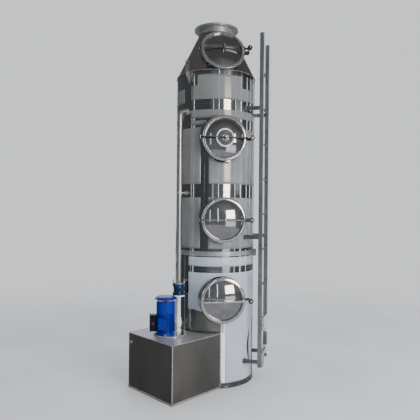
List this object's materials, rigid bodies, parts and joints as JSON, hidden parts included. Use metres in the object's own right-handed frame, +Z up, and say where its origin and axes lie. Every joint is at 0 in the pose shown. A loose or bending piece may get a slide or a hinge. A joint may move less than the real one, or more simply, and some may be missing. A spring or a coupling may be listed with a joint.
{
  "type": "gas absorption tower",
  "caption": "Stainless steel wet scrubbing column with cone top, round hinged manholes, side sump box with vertical pump, riser pipe, side ladder, gas inlet and outlet flanges.",
  "frame": {"origin": "on the ground at the axis of the round shell", "axes": "+Z up along the shell's axis, the manholes face -Y, the ladder is on the +X side"},
  "size_m": [1.4383, 1.2714, 3.56],
  "materials": {
    "stainless_shell": "bright rolled sheet, partly under its pale protective film",
    "polished_lid": "mirror polished pressing",
    "pipe_steel": "bright drawn tube",
    "ladder_steel": "satin",
    "motor_enamel": "blue gloss enamel",
    "joint_enamel": "dark blue enamel with black rubber",
    "white_plastic": "white moulded pipe"
  },
  "bodies": {
    "tower": {"tank_floor": "stainless_shell", "lower_shell_rear_right": "stainless_shell", "lower_shell_rear_left": "stainless_shell", "lower_shell_front_left": "stainless_shell", "lower_shell_front_right": "stainless_shell", "upper_shell_rear_right": "stainless_shell", "upper_shell_rear_left": "stainless_shell", "upper_shell_front_left": "stainless_shell", "upper_shell_front_right": "stainless_shell", "joint_band": "stainless_shell", "cone_top": "stainless_shell", "gas_outlet": "stainless_shell", "gas_inlet": "stainless_shell", "top_manhole_neck": "stainless_shell", "upper_manhole_neck": "stainless_shell", "middle_manhole_neck": "stainless_shell", "lower_manhole_neck": "stainless_shell", "sump_base": "stainless_shell", "sump_walls": "stainless_shell", "sump_cover": "stainless_shell", "pump_plate": "pipe_steel", "pump_motor": "motor_enamel", "fan_cowl": "motor_enamel", "rain_cap": "motor_enamel", "terminal_box": "motor_enamel", "discharge_pipe": "white_plastic", "flexible_joint": "joint_enamel", "riser_flange": "pipe_steel", "riser_pipe": "pipe_steel", "riser_boss": "pipe_steel", "riser_bracket": "pipe_steel", "spray_header": "pipe_steel", "packing_grids": "ladder_steel", "ladder_rails": "ladder_steel", "ladder_rungs": "ladder_steel", "ladder_stays": "ladder_steel", "lifting_lugs": "ladder_steel"},
    "top_lid": {"top_manhole_lid": "polished_lid", "top_clamp_bar": "polished_lid", "top_hand_screw": "polished_lid"},
    "upper_lid": {"upper_manhole_lid": "polished_lid", "upper_clamp_bar": "polished_lid", "upper_hand_screw": "polished_lid"},
    "middle_lid": {"middle_manhole_lid": "polished_lid", "middle_clamp_bar": "polished_lid", "middle_hand_screw": "polished_lid"},
    "lower_lid": {"lower_manhole_lid": "polished_lid", "lower_clamp_bar": "polished_lid", "lower_hand_screw": "polished_lid"}
  },
  "joints": [
    {"name": "top_lid_hinge", "type": "hinge", "parent": "tower", "child": "top_lid", "pos_m": [-0.236, -0.36891, 3.24816], "axis": [0, -0.342, -0.9397], "range_deg": [0, 110]},
    {"name": "upper_lid_hinge", "type": "hinge", "parent": "tower", "child": "upper_lid", "pos_m": [-0.236, -0.485, 2.38], "axis": [0, 0, -1], "range_deg": [0, 110]},
    {"name": "middle_lid_hinge", "type": "hinge", "parent": "tower", "child": "middle_lid", "pos_m": [-0.236, -0.485, 1.609], "axis": [0, 0, -1], "range_deg": [0, 110]},
    {"name": "lower_lid_hinge", "type": "hinge", "parent": "tower", "child": "lower_lid", "pos_m": [-0.236, -0.485, 0.85], "axis": [0, 0, -1], "range_deg": [0, 110]}
  ]
}
